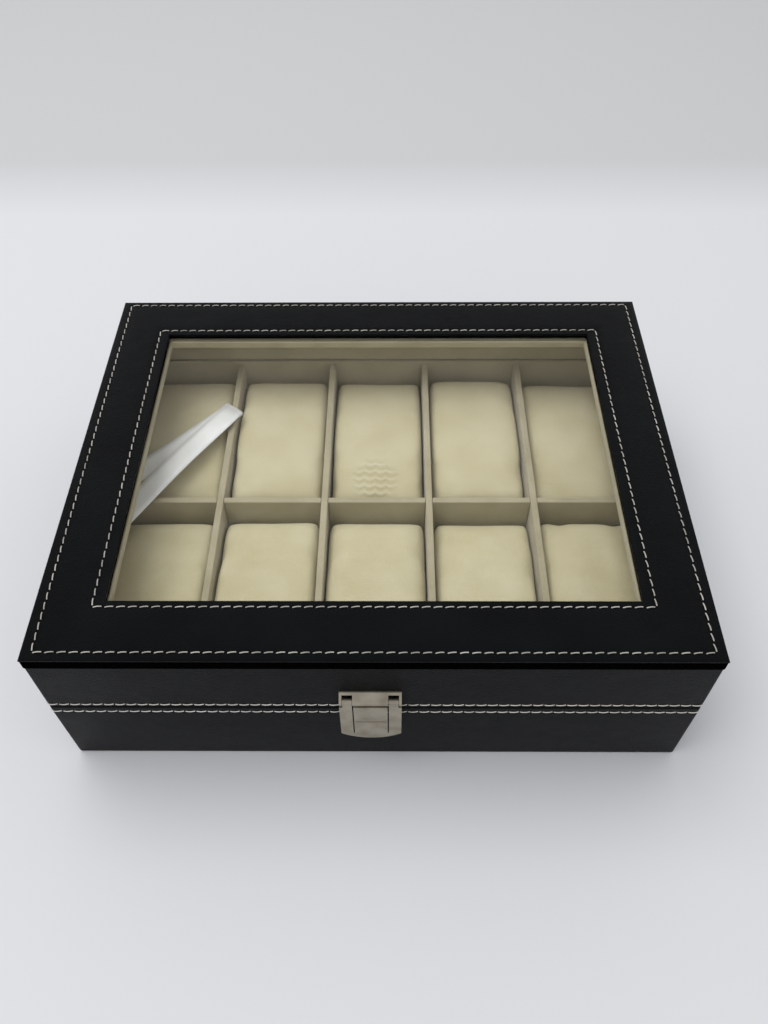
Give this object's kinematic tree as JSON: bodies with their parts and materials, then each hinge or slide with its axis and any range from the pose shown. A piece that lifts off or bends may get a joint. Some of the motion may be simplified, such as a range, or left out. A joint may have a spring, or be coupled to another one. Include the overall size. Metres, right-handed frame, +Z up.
{
  "type": "watch box",
  "caption": "Leather-covered watch box with a hinged glass-window lid, snap latch, stay ribbon and removable velvet pillows in divided cells.",
  "frame": {"origin": "middle of the underside of the felt, on the table", "axes": "+X to the right seen from the latch, +Y towards the hinges, +Z up"},
  "size_m": [0.25, 0.2065, 0.079],
  "materials": {
    "black_leather": "satin grain",
    "panel_backing": "cut edge",
    "black_felt": "matt",
    "cream_velvet": "short pile",
    "beige_velvet": "short pile",
    "white_satin": "satin weave",
    "clear_glass": "polished",
    "nickel": "nickel plate, a little worn",
    "board": "raw fibreboard"
  },
  "bodies": {
    "base": {"base_back_wall": "board", "base_bottom_board": "board", "base_bottom_felt": "black_felt", "base_floor_lining": "beige_velvet", "base_front_wall": "board", "base_leather_wrap": "black_leather", "base_left_wall": "board", "base_lining_back": "beige_velvet", "base_lining_front": "beige_velvet", "base_lining_left": "beige_velvet", "base_lining_right": "beige_velvet", "base_right_wall": "board", "divider_cross_1": "beige_velvet", "divider_cross_2": "beige_velvet", "divider_cross_3": "beige_velvet", "divider_cross_4": "beige_velvet", "divider_long": "beige_velvet", "hinge_base_nails": "nickel", "hinge_left_base_leaf": "nickel", "hinge_left_pin": "nickel", "hinge_right_base_leaf": "nickel", "hinge_right_pin": "nickel", "latch_catch": "nickel", "latch_catch_nails": "nickel"},
    "lid": {"glass_pane": "clear_glass", "hinge_left_lid_leaf": "nickel", "hinge_lid_nails": "nickel", "hinge_right_lid_leaf": "nickel", "latch_pin": "nickel", "latch_plate": "nickel", "latch_plate_nails": "nickel", "lid_back_wall": "board", "lid_front_wall": "board", "lid_leather_skirt": "black_leather", "lid_left_wall": "board", "lid_lining_back": "beige_velvet", "lid_lining_front": "beige_velvet", "lid_lining_left": "beige_velvet", "lid_lining_right": "beige_velvet", "lid_rail_back": "board", "lid_rail_front": "board", "lid_rail_left": "board", "lid_rail_right": "board", "lid_right_wall": "board", "lid_top_backing": "panel_backing", "lid_top_leather": "black_leather", "lid_window_lining": "beige_velvet"},
    "latch_flap": {"latch_flap": "nickel"},
    "ribbon_lower": {"ribbon_lower_leg": "white_satin"},
    "ribbon_upper": {"ribbon_upper_leg": "white_satin"},
    "pillow_back_1": {"pillow_back_1": "cream_velvet"},
    "pillow_back_2": {"pillow_back_2": "cream_velvet"},
    "pillow_back_3": {"pillow_back_3": "cream_velvet"},
    "pillow_back_4": {"pillow_back_4": "cream_velvet"},
    "pillow_back_5": {"pillow_back_5": "cream_velvet"},
    "pillow_front_1": {"pillow_front_1": "cream_velvet"},
    "pillow_front_2": {"pillow_front_2": "cream_velvet"},
    "pillow_front_3": {"pillow_front_3": "cream_velvet"},
    "pillow_front_4": {"pillow_front_4": "cream_velvet"},
    "pillow_front_5": {"pillow_front_5": "cream_velvet"}
  },
  "joints": [
    {"name": "lid_hinge", "type": "hinge", "parent": "base", "child": "lid", "pos_m": [0, 0.101, 0.0422], "axis": [-1, 0, 0], "range_deg": [0, 91.88], "deforming": ["ribbon_lower_leg", "ribbon_upper_leg"]},
    {"name": "latch_flap_hinge", "type": "hinge", "parent": "lid", "child": "latch_flap", "pos_m": [-0.0012, -0.10195, 0.052], "axis": [-1, 0, 0], "range_deg": [0, 100]},
    {"name": "ribbon_lower_swing", "type": "hinge", "parent": "base", "child": "ribbon_lower", "pos_m": [-0.1157, 0.00931, 0.04815], "axis": [0.0304, -0.9991, -0.0304], "range_deg": [0, 95]},
    {"name": "ribbon_fold", "type": "hinge", "parent": "ribbon_lower", "child": "ribbon_upper", "pos_m": [-0.07, 0.056, 0.0486], "axis": [-0.7885, 0.615, 0], "range_deg": [0, 181]},
    {"name": "pillow_back_1_lift", "type": "slide", "parent": "base", "child": "pillow_back_1", "axis": [0, 0, 1], "range_m": [0, 0.003]},
    {"name": "pillow_back_2_lift", "type": "slide", "parent": "base", "child": "pillow_back_2", "axis": [0, 0, 1], "range_m": [0, 0.003]},
    {"name": "pillow_back_3_lift", "type": "slide", "parent": "base", "child": "pillow_back_3", "axis": [0, 0, 1], "range_m": [0, 0.022]},
    {"name": "pillow_back_4_lift", "type": "slide", "parent": "base", "child": "pillow_back_4", "axis": [0, 0, 1], "range_m": [0, 0.022]},
    {"name": "pillow_back_5_lift", "type": "slide", "parent": "base", "child": "pillow_back_5", "axis": [0, 0, 1], "range_m": [0, 0.022]},
    {"name": "pillow_front_1_lift", "type": "slide", "parent": "base", "child": "pillow_front_1", "axis": [0, 0, 1], "range_m": [0, 0.006]},
    {"name": "pillow_front_2_lift", "type": "slide", "parent": "base", "child": "pillow_front_2", "axis": [0, 0, 1], "range_m": [0, 0.022]},
    {"name": "pillow_front_3_lift", "type": "slide", "parent": "base", "child": "pillow_front_3", "axis": [0, 0, 1], "range_m": [0, 0.022]},
    {"name": "pillow_front_4_lift", "type": "slide", "parent": "base", "child": "pillow_front_4", "axis": [0, 0, 1], "range_m": [0, 0.022]},
    {"name": "pillow_front_5_lift", "type": "slide", "parent": "base", "child": "pillow_front_5", "axis": [0, 0, 1], "range_m": [0, 0.022]}
  ],
  "couplings": [
    {"joint": "ribbon_lower_swing", "follows": "lid_hinge", "ratio": 0.98005},
    {"joint": "ribbon_fold", "follows": "lid_hinge", "ratio": 1.9589}
  ]
}
